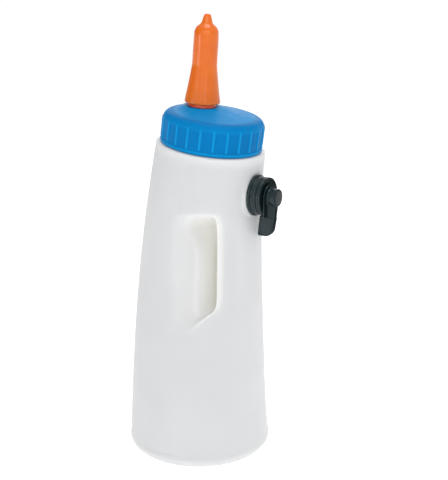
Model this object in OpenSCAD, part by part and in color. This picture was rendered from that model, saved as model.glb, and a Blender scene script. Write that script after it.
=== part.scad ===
// Calf feeding bottle: a blow-moulded bottle that leans towards its handle and air valve, with a grip
// recess on each side, a ribbed screw cap and a rubber teat on an off-centre seat.
// The origin is the centre of the standing ring, +X points to the valve and +Z up. Millimetres.

/* [Bottle] */
// Radius of the body at the base
base_r = 70; // [68:0.5:72]
// Radius of the body under the cap
shoulder_r = 51; // [50.5:0.5:52]
// Height of the cap's lower rim above the floor, on the neck axis
body_h = 304; // [302:1:310]
// Lean of the neck towards the valve, in degrees
neck_lean = 7.6; // [7:0.2:8]
// Sideways shift of the neck from the centre of the base
neck_shift = 14.6; // [14:0.2:15]
// Thickness of the bottle's wall
wall = 2.5; // [2.2:0.1:2.8]
// Height of the raised middle of the base
pushup = 5; // [3:0.5:8]
// Rounding of the bottom edge
base_round = 9; // [7:1:11]

/* [Grip] */
// Depth of the grip recess at the handle, on each side
grip_depth = 19; // [14:1:21]
// Depth of the shallow slope that leads into the recess
grip_shallow = 5; // [3:0.5:6]
// Lower edge of the recess
grip_low = 136; // [130:1:142]
// Upper edge of the recess
grip_high = 250; // [242:1:251]
// Back edge of the handle, measured from the base's axis
handle_back = 43.5; // [43:0.5:45]
// Shallow inset of the handle's sides
handle_inset = 1.5; // [0:0.5:2]

/* [Neck and cap] */
// Outer radius of the neck
neck_r = 43.2; // [43:0.1:43.4]
// Thickness of the neck's wall
neck_wall = 3; // [2.5:0.1:3.5]
// Height of the neck above the cap's lower rim
neck_h = 23.5; // [23:0.1:23.5]
// Lead of the screw thread
thread_lead = 6; // [5.5:0.1:6.5]
// Turns of the neck's thread
thread_turns = 1.5; // [1.25:0.25:1.75]
// Outer radius of the cap over its ribs
cap_r = 47.9; // [47.7:0.1:48.4]
// Height of the cap's rim at its flat top
cap_h = 28.8; // [28.2:0.1:29.2]
// Number of ribs round the cap
cap_ribs = 24; // [18:1:30]

/* [Teat] */
// Distance of the teat's seat from the neck axis
teat_offset = 14.4; // [13.6:0.2:15]
// Height of the seat above the cap's lower rim
seat_h = 33.6; // [33.4:0.1:34.1]
// Backward tilt of the seat against the neck axis, in degrees
teat_tilt = 3.1; // [2.6:0.1:3.6]
// Length of the teat above its seat
teat_l = 84; // [80:0.5:88]
// Radius of the teat's lower edge
teat_base_r = 16.5; // [16:0.1:17]
// Radius of the teat's barrel
teat_barrel_r = 11.5; // [11:0.1:12]

/* [Air valve] */
// Height of the valve's axis
valve_z = 261; // [260:0.5:262]
// Distance of the valve's seat from the base's axis
seat_x = 62.3; // [62:0.1:62.6]
// Radius of the valve's flange
flange_r = 19.1; // [18.5:0.1:19.5]
// Radius of the housing and the collar
collar_r = 17.8; // [17:0.1:17.9]
// Reach of the lever's blade below the valve's axis
lever_l = 37.5; // [34:0.5:38]
// Thickness of the lever's blade
lever_t = 5; // [4:0.5:6]

/* [Hidden] */
$fn = 96;

// Body: the centre line of the sections, and the straight front line of the handle
lean_back = 6.8;
front_low = [66, 66.4];
front_high = [valve_z, 62.2];
bulge_power = 7;
foot_out = base_r - base_round;
foot_in = foot_out - 11;
dome_r = foot_in - 15;
slack = 0.05;

// Grip: where its two slopes start along x, how long they are, and the heights over which they fade
slope_start = 5;
slope_run = 20;
pocket_start = 26;
pocket_run = 13;
pocket_widening = 8;
edge_run = 4.5;
sill_run = 15;
pocket_low = 10;
pocket_sill = 20;
head_run = 17;
corner_in = 18;
corner_run = 26;
half_core = 8;

// Neck: the thread's section, and the seal under the cap
thread_root = 2.4;
thread_crest = 1;
thread_depth = 1.7;
thread_start = 5;
thread_drop = 1.8;
thread_sink = 0.6;
thread_steps = 30;
cap_bore_r = neck_r + 2.3;
gasket_t = 1.5;
cap_under = neck_h + gasket_t + 2 * slack;

// Cap: its ribs, its rounded shoulder and the mound under the teat
rib_depth = 1;
rib_w = 2.2;
cap_shoulder = 6.5;
mound_h = 8.2;

// Teat seat
seat_r = 17.4;
seat_plate = 3.5;
teat_hole_r = 11.9;
teat_flange_r = 16;
teat_cavity_r = 16.5;
teat_wall = 2.6;
teat_flange_t = 3;
teat_neck_r = 12.6;
teat_edge = 3.2;
teat_flare = 38;
teat_slit_r = 0.8;

// Valve, measured outwards from its seat
pad_t = 5;
pad_r = 20.3;
spigot_r = 9;
spigot_bore_r = spigot_r + 0.3;
flange_t = 3.4;
chamfer = 0.8;
gasket_pocket = 1.5;
pocket_r = 15.5;
washer_t = 1.5;
nut_t = 7;
nut_r = 15;
housing_end = 8.6;
collar_gap = 0.5;
collar_end = 13.7;
collar_bore_r = 8;
boss_r = 14.5;
boss_end = 12.4;
vent_r = 1.5;
vent_at = 6;
plug_r = 5.95;
plug_bore_r = plug_r + slack;
plug_back = -14;
plug_head_r = 10.4;
head_bore_r = 10.6;
shoulder_end = 11.5;
square_w = 8;
square_end = 19;
ring_r = 5.08;
ring_bead_r = 0.87;
front_ring_at = 1.5;
rear_ring_at = -10;
screw_r = 1.4;
screw_head_r = 3.2;
screw_seat = 20.1;
barb_start = -22;
barb_end = -36;
barb_pitch = 4;
tube_in_r = 3.5;
tube_out_r = 5;
tube_bend = 18;
tube_rise = 14;

// Lever: a thin base plate with a round top, a round hub, a wedge-shaped arm and a blade
lever_start = collar_end + 0.5;
plate_r = 12.5;
plate_end = 15.6;
plate_low = 17.6;
hub_r = 8.25;
hub_end = 23.8;
cover_r = 7.15;
cover_start = 22;
notch_low = 18.6;
blade_in = 3.4;
blade_out = 19.5;
blade_top = 22.7;
blade_corner = 9;
arm_foot = 5.7;
arm_top = 21;

// ---- shape functions ----

// Smooth step from 0 to 1 as t goes from 0 to 1
function ramp(t) = let(u = min(1, max(0, t))) u * u * (3 - 2 * u);

// Centre, tilt and radius of the section at height z
function mid_x(z) = -lean_back * z / body_h + (neck_shift + lean_back) * pow(z / body_h, 2.5);
function tilt(z) = neck_lean * pow(z / body_h, 1.5);
function round_r(z) = base_r + (shoulder_r - base_r) * z / body_h;

// Extra radius at the front, so that the handle's front line is straight
function front_line(z) =
    front_low[1] + (front_high[1] - front_low[1]) * (z - front_low[0]) / (front_high[0] - front_low[0]);
function front_gap(z) = max(0, front_line(z) - mid_x(z) - round_r(z) * cos(tilt(z)));
function bulge(z) =
    z < front_low[0] ? front_gap(front_low[0]) * ramp((z - front_low[0] + 16) / 16)
    : z < front_high[0] ? front_gap(z) : 0;

// The handle's back edge: 0 in the recess and 1 on the handle, with a rounded lower corner
function corner(z) = corner_in * (1 - ramp((z - grip_low) / corner_run));
function handle_edge(x, z, g) = ramp((x - handle_back + corner(z) - g + edge_run - 1) / edge_run);

// Inward depth of the grip recess at x, z, grown by g on each edge: a shallow slope, then the finger pocket
function grip(x, z, g) = (1 - handle_edge(x, z, g)) * (
    grip_shallow * ramp((x - slope_start + g) / slope_run)
        * ramp((z - grip_low + g) / sill_run) * (1 - ramp((z - grip_high - g + head_run) / head_run))
    + (grip_depth - grip_shallow)
        * ramp((x - pocket_start + g + pocket_widening * ramp((z - 210) / 30)) / pocket_run)
        * ramp((z - grip_low - pocket_low + g) / pocket_sill)
        * (1 - ramp((z - grip_high - g + head_run) / head_run)));

// Inward depth of the handle's inset sides
function side_inset(x, z, g) = handle_inset * handle_edge(x, z, g)
    * (1 - ramp((x - 52 - g) / 9))
    * ramp((z - grip_low - 18 + g) / 16)
    * (1 - ramp((z - grip_high + 24 - g) / 16));

// One point of the wall, d inside the outer skin
function skin(z, a, d) =
    let(r = round_r(z) - d + bulge(z) * pow(max(0, cos(a)), bulge_power),
        x = mid_x(z) + r * cos(a) * cos(tilt(z)),
        y = r * sin(a),
        h = z - r * cos(a) * sin(tilt(z)),
        dent = grip(x, h, d) + side_inset(x, h, d))
    [x, y - sign(y) * min(dent, abs(y) - half_core), h];

// Azimuths of a section's points, closer together across the grips
half_turn = concat([0, 12, 24], [for (a = [36 : 2.75 : 69]) a], [77, 86, 96],
    [for (a = [110 : 14 : 180]) a]);
azimuths = concat(half_turn, [for (i = [len(half_turn) - 2 : -1 : 1]) -half_turn[i]]);
heights = concat([20, 36, 52, 60, 68, 84, 102, 120], [132, 138, 143, 148, 153, 159, 166],
    [180, 200, 220, 232], [238, 243, 248, 254], [266, 280, 292]);

function flat_ring(z, r) = [for (a = azimuths) [r * cos(a), r * sin(a), z]];
function skin_ring(z, d) = [for (a = azimuths) skin(z, a, d)];

// Solid between stacked rings that all have the same number of points
module loft(rings) {
    n = len(rings[0]);
    last = (len(rings) - 1) * n;
    sides = [for (k = [0 : len(rings) - 2], i = [0 : n - 1], half = [0, 1])
        let(j = (i + 1) % n, low = k * n, high = low + n)
        half == 0 ? [low + i, high + i, high + j] : [low + i, high + j, low + j]];
    polyhedron(
        points = [for (ring = rings) each ring],
        faces = concat([[for (i = [0 : n - 1]) i]], sides, [[for (i = [n - 1 : -1 : 0]) last + i]]));
}

// Rounded bottom edge, d inside the outer skin
function foot_rings(d) = [for (t = [0 : 30 : 90])
    flat_ring(base_round - (base_round - d) * cos(t), foot_out + (base_round - d) * sin(t))];

// Helical ridge with a tapered section on a cylinder: side 1 stands outwards, side -1 inwards
module thread(r, depth, side, start, turns) {
    steps = ceil(turns * thread_steps);
    section = [[-thread_sink, -thread_root / 2], [depth, -thread_crest / 2],
        [depth, thread_crest / 2], [-thread_sink, thread_root / 2]];
    rings = [for (k = [0 : steps])
        let(a = turns * 360 * k / steps, z = start + thread_lead * turns * k / steps)
        [for (p = section) [(r + side * p[0]) * cos(a), (r + side * p[0]) * sin(a), z + p[1]]]];
    if (side > 0) loft([for (k = [steps : -1 : 0]) rings[k]]);
    else loft(rings);
}

module ring(r_in, r_out, z0, z1) {
    translate([0, 0, z0]) difference() {
        cylinder(r = r_out, h = z1 - z0);
        translate([0, 0, -1]) cylinder(r = r_in, h = z1 - z0 + 2);
    }
}

// ---- frames of the neck, the teat and the valve ----

module neck_frame() {
    translate([neck_shift, 0, body_h]) rotate([0, neck_lean, 0]) children();
}

module teat_frame() {
    translate([-teat_offset, 0, seat_h]) rotate([0, -teat_tilt, 0]) children();
}

module valve_frame() {
    translate([seat_x, 0, valve_z]) rotate([0, 90, 0]) children();
}

// ---- bottle ----

module shell() {
    difference() {
        loft(concat([flat_ring(pushup, dome_r), flat_ring(0, foot_in)], foot_rings(0),
            [for (z = heights) skin_ring(z, 0)],
            [skin_ring(body_h - 2.5, 0), skin_ring(body_h - 0.8, 1.2)]));
        loft(concat([flat_ring(pushup + wall, dome_r), flat_ring(wall, foot_in - 1)], foot_rings(wall),
            [for (z = heights) skin_ring(z, wall)],
            [skin_ring(body_h - 6, wall), skin_ring(body_h - 4, wall + 2)]));
    }
}

module bottle_body() color("whitesmoke") difference() {
    union() {
        shell();
        valve_frame() translate([0, 0, -pad_t]) cylinder(r = pad_r, h = pad_t);
        neck_frame() {
            translate([0, 0, -3]) cylinder(r = neck_r, h = neck_h + 3);
            thread(neck_r, thread_depth, 1, thread_start, thread_turns);
        }
    }
    neck_frame() translate([0, 0, -10]) cylinder(r = neck_r - neck_wall, h = neck_h + 20);
    valve_frame() {
        cylinder(r = pad_r, h = 8);
        translate([0, 0, -pad_t - 5]) cylinder(r = spigot_bore_r, h = pad_t + 10);
    }
}

module breather_tube() color("lightgrey") {
    bend_x = seat_x + barb_end - 4;
    translate([bend_x, 0, valve_z]) rotate([0, 90, 0])
        ring(tube_in_r, tube_out_r, 0, seat_x + barb_start - 1.5 - bend_x);
    translate([bend_x, 0, valve_z - tube_bend]) rotate([90, 0, 0]) rotate([0, 0, 90])
        rotate_extrude(angle = 90) translate([tube_bend, 0]) difference() {
            circle(r = tube_out_r);
            circle(r = tube_in_r);
        }
    translate([bend_x - tube_bend, 0, 0]) ring(tube_in_r, tube_out_r, tube_rise, valve_z - tube_bend);
}

// ---- cap and teat ----

module cap_profile() {
    polygon(concat(
        [[0, 0], [cap_r - 0.6, 0], [cap_r, 0.8], [cap_r, 3], [cap_r - rib_depth, 3.4],
            [cap_r - rib_depth, cap_h - cap_shoulder - 0.6]],
        [for (t = [0 : 15 : 90]) [cap_r - cap_shoulder + (cap_shoulder - 0.4) * cos(t),
            cap_h - cap_shoulder + cap_shoulder * sin(t)]],
        [[0, cap_h]]));
}

module screw_cap() color("dodgerblue") neck_frame() {
    difference() {
        union() {
            rotate_extrude() cap_profile();
            for (i = [0 : cap_ribs - 1]) rotate([0, 0, 2 + i * 360 / cap_ribs])
                translate([cap_r - 2 * rib_depth, -rib_w / 2, 2])
                    cube([2 * rib_depth - 0.1, rib_w, cap_h - 8.2]);
            teat_frame() translate([0, 0, -mound_h]) cylinder(r1 = seat_r + 14, r2 = seat_r, h = mound_h);
        }
        translate([0, 0, -5]) cylinder(r = cap_bore_r, h = cap_under + 5);
        teat_frame() {
            translate([0, 0, -seat_plate - 12]) cylinder(r = teat_cavity_r, h = 12);
            translate([0, 0, -12]) cylinder(r = teat_hole_r, h = 20);
        }
    }
    thread(cap_bore_r, thread_depth, -1, thread_start - thread_drop, thread_turns - 0.25);
}

module cap_gasket() color("ivory") neck_frame()
    ring(neck_r - neck_wall + 0.4, neck_r, neck_h + slack, neck_h + slack + gasket_t);

module teat() color("darkorange") neck_frame() teat_frame() rotate_extrude() {
    dome = teat_l - 19;
    tip = teat_l - 9;
    polygon(concat(
        [[teat_slit_r, teat_l], [2, teat_l], [2.7, teat_l - 0.8], [4.3, tip], [5.4, tip - 0.8]],
        [for (t = [75 : -15 : 0]) [5 + (teat_barrel_r - 5.1) * cos(t), dome + (tip - dome - 1) * sin(t)]],
        [[teat_barrel_r, teat_flare], [teat_barrel_r + 0.6, teat_flare - 6],
            [teat_base_r, teat_edge + 1.5], [teat_base_r - 0.2, teat_edge + 0.4],
            [teat_base_r - 1, teat_edge], [teat_neck_r, teat_edge - 0.6], [teat_neck_r, 0],
            [teat_hole_r, 0], [teat_hole_r, -seat_plate], [teat_flange_r, -seat_plate],
            [teat_flange_r, -seat_plate - teat_flange_t],
            [teat_hole_r - teat_wall, -seat_plate - teat_flange_t],
            [teat_barrel_r - teat_wall, teat_flare - 6], [teat_barrel_r - teat_wall, dome],
            [teat_barrel_r - 5, tip - 5], [teat_slit_r, tip - 1.5]]));
}

// ---- air valve ----

// Disc with a chamfered outer edge
module chamfered(r, z0, z1) {
    translate([0, 0, z0]) cylinder(r = r, h = z1 - z0 - chamfer);
    translate([0, 0, z1 - chamfer]) cylinder(r1 = r, r2 = r - chamfer, h = chamfer);
}

module valve_body() color("darkslategrey") valve_frame() {
    difference() {
        union() {
            translate([0, 0, barb_start]) cylinder(r = spigot_r, h = -barb_start);
            chamfered(flange_r, 0, flange_t);
            cylinder(r = collar_r, h = housing_end);
            cylinder(r = boss_r, h = boss_end);
            translate([0, 0, barb_end]) cylinder(r = tube_in_r, h = barb_start - barb_end);
            for (i = [0 : 2]) translate([0, 0, barb_end + i * barb_pitch])
                cylinder(r1 = tube_in_r, r2 = tube_in_r + 0.5, h = barb_pitch - 1);
        }
        ring(spigot_r, pocket_r, -1, gasket_pocket);
        translate([0, 0, -15]) cylinder(r = plug_bore_r, h = 30);
        translate([0, 0, housing_end + 0.4]) cylinder(r = head_bore_r, h = 10);
        translate([0, 0, barb_end - 1]) cylinder(r = 2, h = 30);
        translate([0, 0, vent_at]) rotate([0, 90, 0]) cylinder(r = vent_r, h = 30);
    }
}

module valve_gasket() color("dimgrey") valve_frame()
    ring(spigot_r + 0.2, pocket_r - 0.1, 0, gasket_pocket);

module valve_inner_washer() color("dimgrey") valve_frame()
    ring(spigot_r + 0.2, nut_r - 0.4, -pad_t - washer_t, -pad_t);

module valve_nut() color("darkslategrey") valve_frame() translate([0, 0, -pad_t - washer_t - nut_t])
    difference() {
        cylinder(r = nut_r, h = nut_t, $fn = 6);
        translate([0, 0, -1]) cylinder(r = spigot_r + slack, h = nut_t + 2);
    }

module valve_collar() color("darkslategrey") valve_frame() difference() {
    chamfered(collar_r, housing_end + collar_gap, collar_end);
    translate([0, 0, housing_end]) cylinder(r = boss_r + slack, h = boss_end + slack - housing_end);
    cylinder(r = collar_bore_r, h = collar_end + 5);
    ring(collar_r - 0.6, collar_r + 2, collar_end - 2.2, collar_end - 1.6);
}

module thrust_washer() color("ivory") valve_frame()
    ring(plug_r + 0.25, plug_head_r, shoulder_end + slack, boss_end);

module valve_plug() color("silver") valve_frame() difference() {
    union() {
        translate([0, 0, plug_back]) cylinder(r = plug_r, h = housing_end + 0.5 - plug_back);
        translate([0, 0, housing_end + 0.45])
            cylinder(r = plug_head_r, h = shoulder_end - housing_end - 0.45);
        translate([-square_w / 2, -square_w / 2, 0]) cube([square_w, square_w, square_end]);
    }
    for (z = [rear_ring_at, front_ring_at]) ring(ring_r - ring_bead_r, plug_r + 1, z - 1.1, z + 1.1);
    translate([0, 0, plug_back - 1]) cylinder(r = 2, h = vent_at - plug_back + 1);
    translate([0, 0, vent_at]) rotate([-90, 0, 0]) cylinder(r = vent_r, h = 10);
    translate([0, 0, 10]) cylinder(r = screw_r, h = 12);
}

module o_ring(z) {
    valve_frame() translate([0, 0, z]) rotate_extrude() translate([ring_r, 0]) circle(r = ring_bead_r);
}

module plug_o_ring_front() color("black") o_ring(front_ring_at);

module plug_o_ring_rear() color("black") o_ring(rear_ring_at);

// Blade outline: first value runs down from the valve's axis, second outwards from its seat
module blade_outline() {
    polygon(concat(
        [[6, lever_start], [notch_low, lever_start], [notch_low, blade_in + 2.1], [lever_l - 2, blade_in],
            [lever_l - 0.6, blade_in + 0.6], [lever_l, blade_in + 2]],
        [for (t = [0 : 15 : 90]) [lever_l - blade_corner + blade_corner * cos(t),
            blade_out - blade_corner + blade_corner * sin(t)]],
        [[lever_l - blade_corner - 3, blade_out + 0.6], [7, blade_top], [0, blade_top], [0, 16]]));
}

module valve_lever() color("darkslategrey") valve_frame() difference() {
    union() {
        translate([0, 0, lever_start]) cylinder(r = plate_r, h = plate_end - lever_start);
        translate([0, -plate_r, lever_start]) cube([plate_low, 2 * plate_r, plate_end - lever_start]);
        rotate([90, 0, 90]) linear_extrude(plate_low) polygon([[-arm_foot, plate_end - 1],
            [arm_foot, plate_end - 1], [lever_t / 2, arm_top], [-lever_t / 2, arm_top]]);
        chamfered(hub_r, lever_start, hub_end);
        rotate([90, 0, 0]) translate([0, 0, -lever_t / 2]) linear_extrude(lever_t) blade_outline();
    }
    translate([-square_w / 2 - slack, -square_w / 2 - slack, 0])
        cube([square_w + 2 * slack, square_w + 2 * slack, square_end + slack]);
    cylinder(r = screw_r + 0.4, h = 30);
    translate([0, 0, screw_seat]) cylinder(r = cover_r + slack, h = 10);
}

module lever_screw() color("silver") valve_frame() difference() {
    union() {
        translate([0, 0, 10.5]) cylinder(r = screw_r, h = 10);
        translate([0, 0, screw_seat]) cylinder(r = screw_head_r, h = 1.7);
    }
    translate([-2.2, -0.4, screw_seat + 0.9]) cube([4.4, 0.8, 2]);
}

module lever_screw_cover() color("slategrey") valve_frame() {
    translate([0, 0, cover_start]) cylinder(r = cover_r, h = hub_end - 0.4 - cover_start);
    translate([0, 0, hub_end - 0.4]) cylinder(r1 = cover_r, r2 = cover_r - 0.95, h = 0.4);
}

bottle_body();
screw_cap();
cap_gasket();
teat();
valve_body();
valve_gasket();
valve_inner_washer();
valve_nut();
valve_collar();
thrust_washer();
valve_plug();
plug_o_ring_front();
plug_o_ring_rear();
valve_lever();
lever_screw();
lever_screw_cover();
breather_tube();
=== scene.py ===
import math

import bmesh
import bpy
import numpy as np
from mathutils import Matrix, Vector


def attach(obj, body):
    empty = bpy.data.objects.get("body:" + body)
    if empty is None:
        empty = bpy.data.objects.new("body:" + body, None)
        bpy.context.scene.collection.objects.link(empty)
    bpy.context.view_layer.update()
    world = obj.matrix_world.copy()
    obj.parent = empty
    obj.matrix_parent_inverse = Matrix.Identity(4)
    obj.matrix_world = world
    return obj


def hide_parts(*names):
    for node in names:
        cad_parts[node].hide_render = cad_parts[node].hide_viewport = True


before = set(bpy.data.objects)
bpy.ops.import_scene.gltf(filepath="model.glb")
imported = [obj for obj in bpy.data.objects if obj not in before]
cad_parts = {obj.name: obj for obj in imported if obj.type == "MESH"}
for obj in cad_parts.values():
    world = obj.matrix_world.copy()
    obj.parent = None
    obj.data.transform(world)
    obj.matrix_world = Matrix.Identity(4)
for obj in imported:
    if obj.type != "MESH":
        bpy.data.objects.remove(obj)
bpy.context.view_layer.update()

# ---- driving sizes, in metres and degrees ----

MM = 0.001
WELD_DISTANCE = 1e-6
BASE_R = 70 * MM
SHOULDER_R = 51 * MM
BODY_H = 304 * MM
NECK_LEAN = 7.6
NECK_SHIFT = 14.6 * MM
LEAN_BACK = 6.8 * MM
WALL = 2.5 * MM
PUSHUP = 5 * MM
BASE_ROUND = 9 * MM
FOOT_WIDTH = 11 * MM

GRIP_DEPTH = 19 * MM
GRIP_LOW = 136 * MM
GRIP_HIGH = 250 * MM
GRIP_SHALLOW = 5 * MM
SLOPE_START = 5 * MM
SLOPE_RUN = 20 * MM
POCKET_START = 26 * MM
POCKET_RUN = 13 * MM
POCKET_WIDENING = 8 * MM
WIDENING_START = 210 * MM
WIDENING_RUN = 30 * MM
SILL_RUN = 15 * MM
POCKET_LOW = 10 * MM
POCKET_SILL = 20 * MM
HEAD_RUN = 17 * MM
CORNER_IN = 18 * MM
CORNER_RUN = 26 * MM
EDGE_RUN = 4.5 * MM
HANDLE_BACK = 43.5 * MM
HANDLE_INSET = 1.5 * MM
INSET_FRONT = 52 * MM
INSET_FADE = 9 * MM
INSET_LOW = 18 * MM
INSET_HIGH = 24 * MM
INSET_RUN = 16 * MM
FRONT_LOW = (66 * MM, 66.4 * MM)
FRONT_HIGH = (261 * MM, 62.2 * MM)
FRONT_RUN = 16 * MM

SEAM_HEIGHT = 0.22 * MM
SEAM_WIDTH = 0.45 * MM

NECK_R = 43.2 * MM
NECK_WALL = 3 * MM
NECK_H = 23.5 * MM
THREAD_START = 5 * MM
THREAD_LEAD = 6 * MM
THREAD_TURNS = 1.5
THREAD_STEPS = 72
CAP_R = 47.9 * MM
CAP_RIBS = 24
RIB_DEPTH = 1 * MM
CAP_BORE_R = 45.5 * MM
CAP_UNDER = 25.1 * MM

TEAT_OFFSET = 14.4 * MM
SEAT_H = 33.6 * MM
TEAT_TILT = 3.1

VALVE_Z = 261 * MM
SEAT_X = 62.3 * MM
PAD_R = 19.6 * MM
PAD_BLEND = 1.8 * MM
PAD_T = 5 * MM
SPIGOT_BORE_R = 9.3 * MM
SPIGOT_BORE_SPAN = (-12 * MM, 4 * MM)

CAMERA_EYE = (0.50345, -0.80569, 0.48115)
CAMERA_FORWARD = (-0.48819, 0.82806, -0.27566)
CAMERA_LENS = 76.73
CAMERA_SENSOR = 36

FLOOR_RINGS = (0.5, 60)
FLOOR_DROP = 0.0002
FLOOR_GLOW = 0.52
WORLD_BRIGHT_SIDE = (0.8, 0.0, 0.6)
WORLD_STRENGTH = (-0.7, 0.7, 0.20, 0.76)
LIGHT_AIM = Vector((0.0, 0.0, 0.2))
LIGHTS = (  # name, place, width and height in metres, power in watts
    ("softbox", (-0.74, -1.25, 0.33), 0.34, 0.3, 1.4),
    ("front", (0.6, -1.7, 1.0), 0.9, 0.9, 3.4),
    ("strip_left", (-0.28, -1.45, 0.88), 0.10, 0.8, 1.5),
    ("strip_right", (1.15, -1.0, 0.9), 0.16, 0.8, 2.6),
    ("top", (0.1, 0.1, 1.7), 0.8, 0.8, 7.0),
    ("back", (-0.57, 1.0, 0.75), 0.8, 0.8, 3.0),
)


# ---- camera ----

def make_camera():
    """Camera at the studio shot's viewing angle: 32 degrees round from the front, slightly above."""
    forward = Vector(CAMERA_FORWARD).normalized()
    data = bpy.data.cameras.new("studio_camera")
    data.sensor_width = CAMERA_SENSOR
    data.lens = CAMERA_LENS
    camera = bpy.data.objects.new("studio_camera", data)
    turn = forward.to_track_quat("-Z", "Y").to_matrix().to_4x4()
    camera.matrix_world = Matrix.Translation(CAMERA_EYE) @ turn
    bpy.context.scene.collection.objects.link(camera)
    bpy.context.scene.camera = camera


# ---- mesh helpers ----

def ramp(t):
    """Smooth step from 0 to 1."""
    t = np.clip(t, 0, 1)
    return t * t * (3 - 2 * t)


def add_object(bm, name):
    """Turns a bmesh into an object of the scene."""
    mesh = bpy.data.meshes.new(name)
    bm.to_mesh(mesh)
    bm.free()
    made = bpy.data.objects.new(name, mesh)
    bpy.context.scene.collection.objects.link(made)
    return made


def finish_mesh(bm, name, material, body, replaces=(), slot=None, smooth_angle=40):
    """Turns a bmesh into a piece with a material that rides on a body."""
    bmesh.ops.recalc_face_normals(bm, faces=bm.faces)
    piece = add_object(bm, name)
    mesh = piece.data
    # outward: how squarely each face turns towards +X, used by the valve material for painted shade.
    facing = mesh.attributes.new("outward", "FLOAT", "FACE")
    facing.data.foreach_set("value", [max(0.0, face.normal.x) ** 2 for face in mesh.polygons])
    mesh.materials.append(material)
    mesh.shade_smooth()
    mesh.set_sharp_from_angle(angle=math.radians(smooth_angle))
    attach(piece, body)
    if replaces:
        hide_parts(*replaces)
    return piece


def loft(bm, rings, start_cap=True, end_cap=True, **paint):
    """Quads between closed rings of points; paint names vertex values, one row of them per ring."""
    layers = [(bm.verts.layers.float.new(name), values) for name, values in paint.items()]
    rows = [[bm.verts.new(p) for p in ring] for ring in rings]
    for layer, values in layers:
        for row, row_values in zip(rows, values):
            for vert, value in zip(row, np.broadcast_to(row_values, len(row))):
                vert[layer] = float(value)
    count = len(rows[0])
    for low, high in zip(rows[:-1], rows[1:]):
        for i in range(count):
            j = (i + 1) % count
            bm.faces.new((low[i], low[j], high[j], high[i]))
    if start_cap:
        bm.faces.new(list(reversed(rows[0])))
    if end_cap:
        bm.faces.new(rows[-1])
    return rows


def rounded(points, radius, steps=4):
    """A profile with each inner corner of the (r, z) outline replaced by an arc-like curve."""
    points = [np.array(p, float) for p in points]
    out = [points[0]]
    for before, here, after in zip(points[:-2], points[1:-1], points[2:]):
        a, b = before - here, after - here
        cut = min(radius, 0.45 * np.linalg.norm(a), 0.45 * np.linalg.norm(b))
        start = here + a / np.linalg.norm(a) * cut
        end = here + b / np.linalg.norm(b) * cut
        for t in np.linspace(0, 1, steps):
            out.append((1 - t) ** 2 * start + 2 * t * (1 - t) * here + t * t * end)
    out.append(points[-1])
    return out


def circle_ring(r, z, count, place, centre=0.0):
    """Ring of points in a local frame given by the matrix place."""
    angles = np.linspace(0, 2 * math.pi, count, endpoint=False)
    return [place @ Vector((centre + r * math.cos(a), r * math.sin(a), z)) for a in angles]


def weld(bm):
    """Joins vertices that stand on one spot, as on an outline's axis."""
    bmesh.ops.remove_doubles(bm, verts=bm.verts, dist=WELD_DISTANCE)


def revolve(name, profile, place, material, body, count=128, hollow=False, **options):
    """Closed solid about the local Z of place, from an (r, z) outline that is a loop when hollow."""
    bm = bmesh.new()
    rings = [circle_ring(max(r, 0), z, count, place) for r, z in profile]
    if hollow:
        loft(bm, rings + [rings[0]], start_cap=False, end_cap=False)
    else:
        loft(bm, rings, start_cap=profile[0][0] > WELD_DISTANCE, end_cap=profile[-1][0] > WELD_DISTANCE)
    weld(bm)
    return finish_mesh(bm, name, material, body, **options)


def local(x=0.0, y=0.0, z=0.0, turn_y=0.0):
    return Matrix.Translation((x, y, z)) @ Matrix.Rotation(math.radians(turn_y), 4, "Y")


NECK = local(NECK_SHIFT, 0, BODY_H, NECK_LEAN)
TEAT = NECK @ local(-TEAT_OFFSET, 0, SEAT_H, -TEAT_TILT)
VALVE = local(SEAT_X, 0, VALVE_Z, 90)


# ---- materials ----

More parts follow.
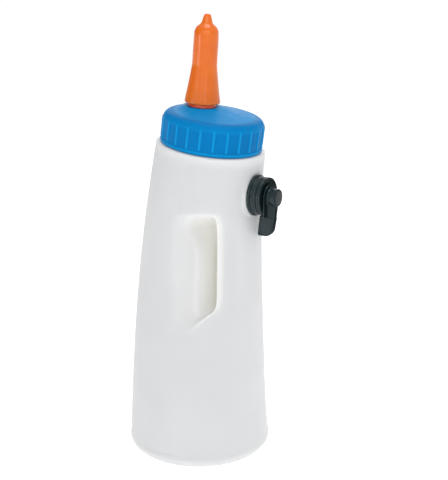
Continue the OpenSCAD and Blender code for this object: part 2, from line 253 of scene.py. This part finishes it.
class Finish:
    """Small builder for a Principled material made of nodes."""

    def __init__(self, name, colour, roughness):
        self.material = bpy.data.materials.new(name)
        self.material.use_nodes = True
        self.tree = self.material.node_tree
        self.shader = self.tree.nodes["Principled BSDF"]
        self.shader.inputs["Base Color"].default_value = (*colour, 1)
        self.shader.inputs["Roughness"].default_value = roughness
        self.coords = self.tree.nodes.new("ShaderNodeTexCoord").outputs["Object"]
        self.height = None

    def link(self, a, b):
        self.tree.links.new(a, b)

    def set(self, **values):
        for name, value in values.items():
            self.shader.inputs[name.replace("_", " ")].default_value = value
        return self

    def noise(self, scale, detail=3.0, stretch=(1, 1, 1), distortion=0.0):
        mapping = self.tree.nodes.new("ShaderNodeMapping")
        mapping.inputs["Scale"].default_value = stretch
        self.link(self.coords, mapping.inputs["Vector"])
        node = self.tree.nodes.new("ShaderNodeTexNoise")
        node.inputs["Scale"].default_value = scale
        node.inputs["Detail"].default_value = detail
        node.inputs["Distortion"].default_value = distortion
        self.link(mapping.outputs["Vector"], node.inputs["Vector"])
        return node.outputs["Fac"]

    def attribute(self, name):
        node = self.tree.nodes.new("ShaderNodeAttribute")
        node.attribute_name = name
        return node.outputs["Fac"]

    def remap(self, value, low, high, to_low, to_high):
        node = self.tree.nodes.new("ShaderNodeMapRange")
        for socket, number in zip(("From Min", "From Max", "To Min", "To Max"), (low, high, to_low, to_high)):
            node.inputs[socket].default_value = number
        self.link(value, node.inputs["Value"])
        return node.outputs["Result"]

    def colours(self, value, *stops):
        node = self.tree.nodes.new("ShaderNodeValToRGB")
        ramp_stops = node.color_ramp.elements
        while len(ramp_stops) < len(stops):
            ramp_stops.new(0.5)
        for element, (place, colour) in zip(ramp_stops, stops):
            element.position = place
            element.color = (*colour, 1)
        self.link(value, node.inputs["Fac"])
        return node.outputs["Color"]

    def mix(self, value, a, b):
        node = self.tree.nodes.new("ShaderNodeMix")
        node.data_type = "RGBA"
        self.link(value, node.inputs["Factor"])
        for source, socket in ((a, node.inputs[6]), (b, node.inputs[7])):
            if isinstance(source, tuple):
                socket.default_value = (*source, 1)
            else:
                self.link(source, socket)
        return node.outputs[2]

    def colour(self, socket):
        self.link(socket, self.shader.inputs["Base Color"])
        return self

    def roughness(self, socket):
        self.link(socket, self.shader.inputs["Roughness"])
        return self

    def bump(self, height, distance, strength=1.0):
        node = self.tree.nodes.new("ShaderNodeBump")
        node.inputs["Distance"].default_value = distance
        node.inputs["Strength"].default_value = strength
        self.link(height, node.inputs["Height"])
        if self.height is not None:
            self.link(self.height, node.inputs["Normal"])
        self.height = node.outputs["Normal"]
        self.link(self.height, self.shader.inputs["Normal"])
        return self


def make_hdpe():
    f = Finish("hdpe_natural", (0.79, 0.80, 0.815), 0.44)
    f.set(Subsurface_Weight=0.7, Subsurface_Radius=(1.0, 0.95, 0.85), Subsurface_Scale=0.012,
          Specular_IOR_Level=0.25)
    cloud = f.noise(9.0, 3.0)
    streak = f.noise(30.0, 4.0, stretch=(1, 1, 0.12))
    tone = f.colours(cloud, (0.35, (0.695, 0.697, 0.697)), (0.65, (0.735, 0.736, 0.734)))
    # Painted shade: the finger recess is tinted warm tan by its depth, standing in for the shade inside it.
    painted_recess_shade = f.mix(f.attribute("recess"), tone, (0.88, 0.855, 0.765))
    f.colour(f.mix(f.remap(f.attribute("wear"), 0, 1, 0, 0.3), painted_recess_shade, (0.66, 0.66, 0.65)))
    f.roughness(f.remap(streak, 0.3, 0.7, 0.36, 0.5))
    f.bump(f.noise(420.0, 2.0), 0.00012, 0.5)
    f.bump(f.noise(46.0, 2.0), 0.0006, 0.35)
    return f.material


def make_cap_blue():
    f = Finish("cap_polypropylene", (0.0, 0.20, 0.57), 0.42)
    f.set(Subsurface_Weight=0.06, Subsurface_Radius=(0.2, 0.5, 1.0), Subsurface_Scale=0.002,
          Specular_IOR_Level=0.05)
    tone = f.colours(f.noise(24.0, 3.0), (0.3, (0.0, 0.163, 0.43)), (0.7, (0.0, 0.182, 0.475)))
    # Painted sheen and highlights: the edge value lightens the blue on the rim band, the rib tips and the
    # crown.
    f.colour(f.mix(f.attribute("edge"), tone, (0.004, 0.37, 0.78)))
    f.roughness(f.remap(f.noise(120.0, 4.0), 0.3, 0.7, 0.36, 0.50))
    f.bump(f.noise(700.0, 2.0), 0.00008, 0.5)
    return f.material


def make_teat_rubber():
    f = Finish("teat_rubber", (0.86, 0.19, 0.012), 0.42)
    f.set(Subsurface_Weight=0.12, Subsurface_Radius=(1.0, 0.35, 0.1), Subsurface_Scale=0.003,
          Specular_IOR_Level=0.5)
    tone = f.colours(f.noise(60.0, 4.0), (0.3, (0.71, 0.125, 0.002)), (0.7, (0.75, 0.155, 0.003)))
    # Painted shade: the neck under the skirt is coloured a deeper red.
    f.colour(f.mix(f.attribute("root"), tone, (0.92, 0.070, 0.012)))
    f.roughness(f.remap(f.noise(200.0, 4.0), 0.3, 0.7, 0.17, 0.27))
    f.bump(f.noise(900.0, 3.0), 0.0001, 0.5)
    return f.material


def make_valve_black():
    """Black nylon with polished sides; faces turned towards +X are painted darker and given a lower IOR, as
    painted shade on the side away from the lamps.
    """
    f = Finish("valve_nylon", (0.013, 0.022, 0.026), 0.3)
    painted_shade_side = f.attribute("outward")
    tone = f.colours(f.noise(90.0, 3.0), (0.3, (0.006, 0.017, 0.020)), (0.7, (0.010, 0.025, 0.029)))
    # Painted shade: the darker colour on faces turned towards +X.
    f.colour(f.mix(painted_shade_side, tone, (0.004, 0.009, 0.010)))
    f.set(Specular_IOR_Level=0.42)
    f.link(f.remap(painted_shade_side, 0, 1, 1.45, 1.08), f.shader.inputs["IOR"])
    f.roughness(f.remap(f.noise(300.0, 4.0), 0.3, 0.7, 0.15, 0.24))
    f.bump(f.noise(1400.0, 2.0), 0.00006, 0.5)
    return f.material


def make_hub_gloss():
    """Smooth moulded disc on the lever's hub."""
    f = Finish("hub_gloss", (0.022, 0.028, 0.031), 0.24)
    f.set(IOR=1.2)
    f.roughness(f.remap(f.noise(260.0, 4.0), 0.3, 0.7, 0.20, 0.32))
    f.bump(f.noise(900.0, 2.0), 0.00004, 0.4)
    return f.material


def make_plain(name, colour, roughness, scale, metallic=0.0):
    """Finish of the inner pieces: mottled colour, uneven roughness and a fine bump."""
    f = Finish(name, colour, roughness)
    f.set(Metallic=metallic)
    darker = tuple(0.82 * c for c in colour)
    f.colour(f.colours(f.noise(scale, 3.0), (0.3, darker), (0.7, colour)))
    f.roughness(f.remap(f.noise(scale * 3, 4.0), 0.3, 0.7, roughness - 0.06, roughness + 0.08))
    f.bump(f.noise(scale * 9, 2.0), 0.00006, 0.5)
    return f.material


# ---- bottle ----

def bottle_section(z):
    """Centre x, tilt in radians and radius of the section at height z."""
    s = z / BODY_H
    mid = -LEAN_BACK * s + (NECK_SHIFT + LEAN_BACK) * s ** 2.5
    return mid, math.radians(NECK_LEAN * s ** 1.5), BASE_R + (SHOULDER_R - BASE_R) * s


def front_gap(z):
    """How far the straight front line stands out from the round section at height z."""
    mid, tilt, r = bottle_section(z)
    slope = (FRONT_HIGH[1] - FRONT_LOW[1]) / (FRONT_HIGH[0] - FRONT_LOW[0])
    return max(0.0, FRONT_LOW[1] + slope * (z - FRONT_LOW[0]) - mid - r * math.cos(tilt))


def front_bulge(z):
    """Extra radius that makes the handle's front line straight."""
    if z < FRONT_LOW[0]:
        return front_gap(FRONT_LOW[0]) * float(ramp((z - FRONT_LOW[0] + FRONT_RUN) / FRONT_RUN))
    return front_gap(z) if z < FRONT_HIGH[0] else 0.0


def grip_dent(x, z, grow):
    """Inward depth of the grip: a shallow slope, then the finger pocket behind the handle's edge."""
    corner = CORNER_IN * (1 - ramp((z - GRIP_LOW) / CORNER_RUN))
    edge = ramp((x - HANDLE_BACK + corner - grow + EDGE_RUN - 1 * MM) / EDGE_RUN)
    head = 1 - ramp((z - GRIP_HIGH - grow + HEAD_RUN) / HEAD_RUN)
    slope = ramp((x - SLOPE_START + grow) / SLOPE_RUN) * ramp((z - GRIP_LOW + grow) / SILL_RUN)
    widening = POCKET_WIDENING * ramp((z - WIDENING_START) / WIDENING_RUN)
    pocket = ramp((x - POCKET_START + grow + widening) / POCKET_RUN)
    pocket = pocket * ramp((z - GRIP_LOW - POCKET_LOW + grow) / POCKET_SILL)
    recess = (1 - edge) * head * (GRIP_SHALLOW * slope + (GRIP_DEPTH - GRIP_SHALLOW) * pocket)
    side = HANDLE_INSET * edge * (1 - ramp((x - INSET_FRONT - grow) / INSET_FADE))
    side = side * ramp((z - GRIP_LOW - INSET_LOW + grow) / INSET_RUN)
    side = side * (1 - ramp((z - GRIP_HIGH + INSET_HIGH - grow) / INSET_RUN))
    return recess, side


def seat_blend(x, y, z, target):
    """Flattens the skin into the valve's round seat."""
    away = np.hypot(y, z - VALVE_Z)
    blend = np.where(x > 30 * MM, 1 - ramp((away - PAD_R) / PAD_BLEND), 0.0)
    return x + (target - x) * blend


def body_azimuths():
    """Azimuths of a section's points: close together at the seam and across the grips."""
    spans = ((0, 4, 9), (6, 36, 13), (36.8, 52, 24), (53, 100, 36), (103, 176, 30), (176.5, 180, 8))
    half = [a for start, end, count in spans for a in np.linspace(start, end, count)]
    return np.radians(half + [-a for a in reversed(half[1:-1])])


def body_heights():
    """Heights of the sections: close together at the ends of the grips."""
    spans = ((12, 128, 42), (130, 156, 27), (158, 234, 26), (235, 253, 25), (255, 300, 24))
    return [z * MM for start, end, count in spans for z in np.linspace(start, end, count)]


def skin_ring(z, inset, azimuths, seam):
    """One section of the body's skin, and how deep in a recess each point is."""
    mid, tilt, r0 = bottle_section(z)
    c, s = np.cos(azimuths), np.sin(azimuths)
    r = r0 - inset + front_bulge(z) * np.maximum(c, 0) ** 7
    x, y, h = mid + r * c * math.cos(tilt), r * s, z - r * c * math.sin(tilt)
    pocket, side = grip_dent(x, h, inset)
    y = y - np.sign(y) * np.minimum(pocket + side, np.maximum(np.abs(y) - 8 * MM, 0))
    if seam:
        x = x + np.sign(c) * SEAM_HEIGHT * np.exp(-(y / SEAM_WIDTH) ** 2)
    x = seat_blend(x, y, h, SEAT_X - (0 if seam else PAD_T))
    return [Vector(p) for p in zip(x, y, h)], pocket / GRIP_DEPTH


def foot_ring(r, z, azimuths):
    return [Vector((r * math.cos(a), r * math.sin(a), z)) for a in azimuths]


def foot_profile(inset):
    """Push-up, standing ring and rounded bottom edge as (r, z), at a distance inside the outer skin."""
    outer = BASE_R - BASE_ROUND
    inner = outer - FOOT_WIDTH
    dome = [(r, PUSHUP + inset - PUSHUP * float(ramp(r / inner))) for r in np.linspace(4 * MM, inner, 14)]
    flat = [(outer - 7 * MM, inset), (outer - 2 * MM, inset)]
    turn = [(outer + (BASE_ROUND - inset) * math.sin(t), BASE_ROUND - (BASE_ROUND - inset) * math.cos(t))
            for t in np.linspace(0, math.pi / 2, 9)]
    return dome + flat + turn


def make_bottle(material):
    """The blow-moulded body: outer skin, neck, lip and inner skin as one closed surface."""
    azimuths = body_azimuths()
    rings, recess = [], []

    def add(points, depth=0.0):
        rings.append(points)
        recess.append(np.broadcast_to(depth, len(azimuths)))

    def neck(r, z):
        add([NECK @ Vector((r * math.cos(a), r * math.sin(a), z)) for a in azimuths])

    for r, z in foot_profile(0.0):
        add(foot_ring(r, z, azimuths))
    for z in body_heights():
        add(*skin_ring(z, 0.0, azimuths, True))
    for inset, drop in ((0.0, 2.6), (0.15, 1.8), (0.7, 1.0), (1.6, 0.6), (3.0, 0.5)):
        add(*skin_ring(BODY_H - drop * MM, inset * MM, azimuths, False))
    for r, z in rounded([(NECK_R + 1.4 * MM, -0.5 * MM), (NECK_R, -0.4 * MM), (NECK_R, NECK_H),
                         (NECK_R - NECK_WALL, NECK_H), (NECK_R - NECK_WALL, -4 * MM)], 0.7 * MM):
        neck(r, z)
    for z, inset in ((BODY_H - 6 * MM, WALL + 2 * MM), (BODY_H - 8 * MM, WALL)):
        add(*skin_ring(z, inset, azimuths, False))
    for z in reversed([z for z in body_heights() if z < BODY_H - 10 * MM]):
        add(*skin_ring(z, WALL, azimuths, False))
    for r, z in reversed(foot_profile(WALL)):
        add(foot_ring(r, z, azimuths))

    wear = [[1 - ramp((p.z - 1 * MM) / (10 * MM)) for p in ring] for ring in rings]
    bm = bmesh.new()
    # recess holds each point's depth in the finger recess; the material turns it into painted shade.
    loft(bm, rings, recess=recess, wear=wear)
    bore_valve_hole(finish_mesh(bm, "bottle", material, "bottle", ("bottle_body",), "hdpe", 60))


def bore_valve_hole(bottle):
    """Cuts the hole for the valve's spigot through the wall."""
    bm = bmesh.new()
    loft(bm, [circle_ring(SPIGOT_BORE_R, z, 96, VALVE) for z in SPIGOT_BORE_SPAN])
    bmesh.ops.recalc_face_normals(bm, faces=bm.faces)
    drill = add_object(bm, "drill")
    cut = bottle.modifiers.new("bore", "BOOLEAN")
    cut.operation = "DIFFERENCE"
    cut.object = drill
    bpy.context.view_layer.update()
    evaluated = bottle.evaluated_get(bpy.context.evaluated_depsgraph_get())
    bored = bpy.data.meshes.new_from_object(evaluated)
    bottle.modifiers.clear()
    bottle.data = bored
    bpy.data.objects.remove(drill)


def make_neck_thread(material):
    """The neck's helical thread, with run-in and run-out."""
    steps = int(THREAD_TURNS * THREAD_STEPS)
    run_in = 8
    bm = bmesh.new()
    rings = []
    for k in range(steps + 1):
        a = 2 * math.pi * k / THREAD_STEPS
        z = THREAD_START + THREAD_LEAD * k / THREAD_STEPS
        fade = float(ramp(k / run_in) * ramp((steps - k) / run_in))
        crest = NECK_R + (0.15 + 1.55 * fade) * MM
        section = rounded([(NECK_R - 0.5 * MM, -1.2 * MM), (crest, -0.5 * MM), (crest, 0.5 * MM),
                           (NECK_R - 0.5 * MM, 1.2 * MM)], 0.35 * MM, 3)
        rings.append([NECK @ Vector((r * math.cos(a), r * math.sin(a), z + h)) for r, h in section])
    loft(bm, rings)
    finish_mesh(bm, "neck_thread", material, "bottle", (), "hdpe", 50)


# ---- cap ----

def smooth_path(stops, steps):
    """Points on a Catmull-Rom curve through the given rows of numbers."""
    p = np.array([stops[0], *stops, stops[-1]], float)
    out = []
    for a, b, c, d in zip(p[:-3], p[1:-2], p[2:-1], p[3:]):
        for t in np.linspace(0, 1, steps, endpoint=False):
            out.append(0.5 * (2 * b + (c - a) * t + (2 * a - 5 * b + 4 * c - d) * t ** 2
                              + (3 * b - a - 3 * c + d) * t ** 3))
    return out + [p[-1]]


def make_cap(material):
    """Ribbed screw cap whose crown rises to an off-centre seat for the teat."""
    count = CAP_RIBS * 20
    angles = np.linspace(0, 2 * math.pi, count, endpoint=False)
    phase = (angles - math.radians(2)) * CAP_RIBS / (2 * math.pi)
    from_rib = np.abs(phase - np.round(phase)) * 2 * math.pi / CAP_RIBS * CAP_R
    rib = 1 - ramp((from_rib - 0.55 * MM) / (0.9 * MM))
    valley = CAP_R - RIB_DEPTH
    rings, painted_sheen = [], []

    # edge sets a ring's painted sheen; rib tips add a painted highlight.
    def add(r, z, x=0.0, rib_height=0.0, tilt=0.0, edge=0.0):
        radius = r + rib_height * rib
        px, py = x + radius * np.cos(angles), radius * np.sin(angles)
        pz = z + (px - x) * math.tan(math.radians(tilt))
        rings.append([NECK @ Vector(p) for p in zip(px, py, pz)])
        painted_sheen.append(0.6 * np.clip(edge + 0.9 * rib * rib_height / MM, 0, 1))

    for r, z in rounded([(CAP_BORE_R, 3 * MM), (CAP_BORE_R, 0), (CAP_R - 0.2 * MM, 0), (CAP_R, 3.0 * MM),
                         (valley, 3.7 * MM), (valley, 6 * MM)], 0.7 * MM):
        add(r, z, edge=0.55 if r > valley + 0.3 * MM else 0.0,
            rib_height=RIB_DEPTH if z > 4.2 * MM else 0.0)
    for z in np.linspace(7, 20.2, 14):
        add(valley, z * MM, rib_height=RIB_DEPTH)
    shoulder = smooth_path([(46.9, 21.1, 1.0, 0), (46.95, 22.1, 0.8, 0.2), (46.8, 23.3, 0.35, 0.25),
                            (46.1, 25.3, 0, 0.15), (44.4, 27.3, 0, 0.1), (41.8, 28.6, 0, 0),
                            (38.5, 29.2, 0, 0)], 5)
    for r, z, height, edge in shoulder:
        add(r * MM, z * MM, rib_height=height * MM, edge=edge)
    seat, shift = SEAT_H / MM, -TEAT_OFFSET / MM
    crown = smooth_path([(38.5, 29.2, 0, 0), (34.0, 29.9, -3.0, 0.5), (28.0, 30.8, -8.0, 1.6),
                         (23.0, 31.9, -12.0, 2.6), (19.6, 32.9, -14.0, 3.0),
                         (17.8, seat - 0.1, shift, TEAT_TILT), (16.0, seat, shift, TEAT_TILT)], 5)
    # The crown gets a painted sheen.
    for r, z, x, tilt in crown[1:]:
        add(r * MM, z * MM, x * MM, tilt=tilt, edge=0.5)
    for r, drop in ((12.6, 0.0), (12.0, 0.4), (12.0, 3.4), (16.5, 3.5)):
        add(r * MM, (seat - drop) * MM, -TEAT_OFFSET, tilt=TEAT_TILT)
    add(16.5 * MM, CAP_UNDER, -TEAT_OFFSET)
    for r, z in ((30 * MM, CAP_UNDER), (CAP_BORE_R - 0.6 * MM, CAP_UNDER),
                 (CAP_BORE_R, CAP_UNDER - 0.6 * MM), (CAP_BORE_R, 14 * MM)):
        add(r, z)
    bm = bmesh.new()
    loft(bm, rings + [rings[0]], start_cap=False, end_cap=False, edge=painted_sheen + [painted_sheen[0]])
    weld(bm)
    finish_mesh(bm, "cap", material, "cap", ("screw_cap",), "cap_plastic", 55)


# ---- teat ----

def make_teat(material):
    """Hollow rubber teat with its neck, flared skirt, barrel and nozzle."""
    outline = [(11.9, -3.5), (11.9, -0.4), (12.8, 0.05), (12.75, 0.9), (12.5, 2.2), (12.9, 2.8),
               (14.9, 3.05), (16.0, 3.2), (16.5, 3.75), (16.6, 4.6), (16.35, 6.5), (15.85, 9.5),
               (15.0, 14.5), (13.6, 23.5), (12.3, 32.5), (11.85, 36.0), (11.62, 37.6), (11.56, 39.5),
               (11.52, 46.0), (11.48, 54.0), (11.4, 61.0), (11.3, 65.2), (10.95, 68.3), (10.05, 70.8),
               (8.6, 72.8), (6.9, 74.3), (5.5, 75.6), (4.8, 77.0), (4.35, 78.8), (3.9, 80.4),
               (3.4, 82.1), (2.8, 83.3), (1.9, 83.9), (0.9, 84.0)]
    inner = [(0.8, 83.7), (0.8, 73.5), (5.2, 71.0), (8.6, 65.5), (8.9, 58.0), (9.0, 36.0),
             (10.0, 20.0), (9.6, 4.0), (9.3, -6.5)]
    flange = [(15.5, -6.5), (16.0, -6.1), (16.0, -3.9), (15.6, -3.5)]
    profile = [(r * MM, z * MM) for r, z, *_ in smooth_path(outline, 4)]
    profile += [(r * MM, z * MM) for r, z in inner + flange]
    bm = bmesh.new()
    count = 160
    rings = [circle_ring(r, z, count, TEAT) for r, z in profile]
    # Painted shade mask: the neck below the skirt, which the skirt shades.
    root = [0.9 * (1 - ramp((z - 2.5 * MM) / (1.4 * MM))) for _, z in profile + profile[:1]]
    loft(bm, rings + [rings[0]], start_cap=False, end_cap=False, root=root)
    weld(bm)
    finish_mesh(bm, "rubber_teat", material, "cap", ("teat",), "teat_rubber", 70)


# ---- air valve ----

def mm_profile(points, radius, steps=4):
    return rounded([(r * MM, z * MM) for r, z in points], radius * MM, steps)


def make_valve(material):
    """The valve's flanged housing with its barb, and the ring screwed on its front."""
    body = [(9.0, -22), (9.0, 0), (18.4, 0), (19.1, 0.7), (19.1, 2.6), (18.7, 3.3), (18.1, 3.7),
            (17.8, 4.2), (17.8, 6.3), (17.65, 6.5), (17.65, 6.8), (17.8, 7.0), (17.8, 8.85), (14.5, 8.6),
            (14.5, 12.4), (10.6, 12.4), (10.6, 9.0), (6.0, 9.0), (6.0, -15), (2.0, -15), (2.0, -36),
            (3.5, -36), (4.0, -33.5), (3.5, -33.0), (4.0, -29.5), (3.5, -29.0), (4.0, -25.5),
            (3.5, -25.0), (3.5, -22)]
    revolve("valve_housing", mm_profile(body + [body[0]], 0.35, 3)[:-1], VALVE, material, "bottle",
            hollow=True, replaces=("valve_body",), slot="valve_plastic", smooth_angle=35)
    collar = [(14.56, 9.1), (17.4, 9.1), (17.8, 9.5), (17.8, 11.2), (17.6, 11.4), (17.6, 11.7),
              (17.8, 11.9), (17.8, 13.1), (17.2, 13.7), (16.3, 13.7), (15.9, 13.5), (8.4, 13.5),
              (8.0, 13.3), (8.0, 12.45), (14.56, 12.45)]
    revolve("valve_ring", mm_profile(collar + [collar[0]], 0.3, 3)[:-1], VALVE, material, "bottle",
            hollow=True, replaces=("valve_collar",), slot="valve_plastic", smooth_angle=35)


def u_outline(grow):
    """Outline of the lever's base plate: round above the axis, straight sides below it."""
    r = 12.5 - grow
    arc = [(-r * math.cos(t), -r * math.sin(t)) for t in np.linspace(-math.pi / 2, math.pi / 2, 49)]
    low = 17.6 - grow
    return arc + [(low - 1, -r), (low, -r + 1), (low, r - 1), (low - 1, r)]


def shrunk(points, distance):
    """A convex outline drawn in towards its middle by about the given distance."""
    p = np.array(points, float)
    low, high = p.min(0), p.max(0)
    middle = (low + high) / 2
    return middle + (p - middle) * (1 - 2 * distance / (high - low))


def corner_arc(centre, radius, start, end, steps=10):
    return [(centre[0] + radius * math.cos(t), centre[1] + radius * math.sin(t))
            for t in np.radians(np.linspace(start, end, steps))]


def make_lever(material):
    """Finger lever: base plate, round hub, arm and a thicker blade with a raised rim on both faces."""
    bm = bmesh.new()

    def slab(outlines):
        """Closed solid between outlines given as (down, side, out) points in millimetres."""
        loft(bm, [[VALVE @ Vector((d * MM, y * MM, w * MM)) for d, y, w in outline]
                  for outline in outlines])

    plate = [(0.5, 14.2), (0.12, 14.3), (0, 14.6), (0, 15.2), (0.12, 15.5), (0.5, 15.62)]
    slab([[(d, y, w) for d, y in u_outline(grow)] for grow, w in plate])

    arm = [(-6.6, 15.0), (-6.4, 15.4), (-5.9, 15.8), (-2.9, 20.9), (-2.5, 21.8), (-2.1, 22.1)]
    arm += [(-y, w) for y, w in reversed(arm)]
    falls = [(0.0, 0.5), (7.0, 0.45), (17.6, -0.75), (19.5, -0.95)]
    slab([[(down, y, w if w < 19 else w + rise) for y, w in arm] for down, rise in falls])

    blade = corner_arc((19.6, 6.9), 1.4, 270, 180, 5) + corner_arc((20.0, 19.7), 1.8, 180, 97, 6)
    blade += corner_arc((28.6, 11.0), 8.9, 84, 3, 14) + corner_arc((35.9, 5.2), 1.6, 0, -84, 6)
    rim = [(2.7, 2.45), (2.2, 2.42), (1.75, 2.62), (1.4, 2.85), (1.0, 2.9), (0.55, 2.75), (0.18, 2.4),
           (0.0, 1.8)]
    stack = rim + [(inset, -y) for inset, y in reversed(rim)]
    slab([[(d, y, w) for d, w in shrunk(blade, inset)] for inset, y in stack])

    hub = mm_profile([(6.6, 14.2), (9.6, 14.2), (9.6, 15.6), (8.6, 16.1), (8.25, 17.0), (8.25, 23.2),
                      (7.75, 23.8), (7.3, 23.8), (7.2, 20.1), (1.8, 20.1), (1.8, 14.2), (6.6, 14.2)],
                     0.35, 4)[:-1]
    rows = [circle_ring(r, z, 112, VALVE) for r, z in hub]
    loft(bm, rows + [rows[0]], start_cap=False, end_cap=False)
    weld(bm)
    finish_mesh(bm, "lever", material, "lever", ("valve_lever",), "valve_plastic", 40)
    cover = mm_profile([(0, 22.0), (7.1, 22.0), (7.15, 23.45), (6.7, 23.85), (3.5, 24.0), (0, 24.05)], 0.4)
    revolve("hub_cover", cover, VALVE, make_hub_gloss(), "lever", count=96,
            replaces=("lever_screw_cover",), slot="valve_plastic")


# ---- studio ----

def make_world(scene):
    """White surroundings that are darker towards the left and below."""
    world = bpy.data.worlds.new("studio")
    world.use_nodes = True
    tree = world.node_tree
    coords = tree.nodes.new("ShaderNodeTexCoord")
    side = tree.nodes.new("ShaderNodeVectorMath")
    side.operation = "DOT_PRODUCT"
    side.inputs[1].default_value = WORLD_BRIGHT_SIDE
    strength = tree.nodes.new("ShaderNodeMapRange")
    for socket, number in zip(("From Min", "From Max", "To Min", "To Max"), WORLD_STRENGTH):
        strength.inputs[socket].default_value = number
    tree.links.new(coords.outputs["Generated"], side.inputs[0])
    tree.links.new(side.outputs["Value"], strength.inputs["Value"])
    background = tree.nodes["Background"]
    background.inputs["Color"].default_value = (1, 1, 1, 1)
    tree.links.new(strength.outputs["Result"], background.inputs["Strength"])
    scene.world = world


def make_studio():
    """White floor and world, with a small softbox, two strips and large front, top and back lights."""
    scene = bpy.context.scene
    scene.view_settings.view_transform = "Standard"
    make_world(scene)
    bm = bmesh.new()
    loft(bm, [circle_ring(r, -FLOOR_DROP, 64, local()) for r in FLOOR_RINGS], end_cap=False)
    floor = add_object(bm, "studio_floor")
    finish = Finish("studio_floor", (0.8, 0.8, 0.8), 0.8)
    finish.set(Emission_Color=(1, 1, 1, 1), Emission_Strength=FLOOR_GLOW, Specular_IOR_Level=0.0)
    floor.data.materials.append(finish.material)

    for name, place, width, height, power in LIGHTS:
        light = bpy.data.lights.new(name, "AREA")
        light.shape = "RECTANGLE"
        light.size = width
        light.size_y = height
        light.energy = power
        lamp = bpy.data.objects.new(name, light)
        lamp.location = place
        lamp.rotation_euler = (LIGHT_AIM - Vector(place)).to_track_quat("-Z", "Y").to_euler()
        lamp.visible_camera = False
        scene.collection.objects.link(lamp)


make_camera()
make_studio()

HDPE = make_hdpe()
BLACK = make_valve_black()
make_bottle(HDPE)
make_neck_thread(HDPE)
make_cap(make_cap_blue())
make_teat(make_teat_rubber())
make_valve(BLACK)
make_lever(BLACK)

INNER = {
    "seal": make_plain("seal_rubber", (0.022, 0.022, 0.022), 0.6, 120),
    "slip": make_plain("acetal_ivory", (0.74, 0.72, 0.64), 0.4, 90),
    "steel": make_plain("stainless", (0.56, 0.56, 0.57), 0.3, 260, metallic=1.0),
    "tube": make_plain("milky_silicone", (0.62, 0.64, 0.64), 0.4, 60),
}
for node, finish in (
        ("cap_gasket", INNER["slip"]), ("valve_gasket", INNER["seal"]),
        ("valve_inner_washer", INNER["seal"]), ("valve_nut", BLACK),
        ("thrust_washer", INNER["slip"]), ("valve_plug", INNER["slip"]),
        ("plug_o_ring_front", INNER["seal"]), ("plug_o_ring_rear", INNER["seal"]),
        ("lever_screw", INNER["steel"]), ("breather_tube", INNER["tube"])):
    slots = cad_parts[node].data.materials
    slots.clear()
    slots.append(finish)
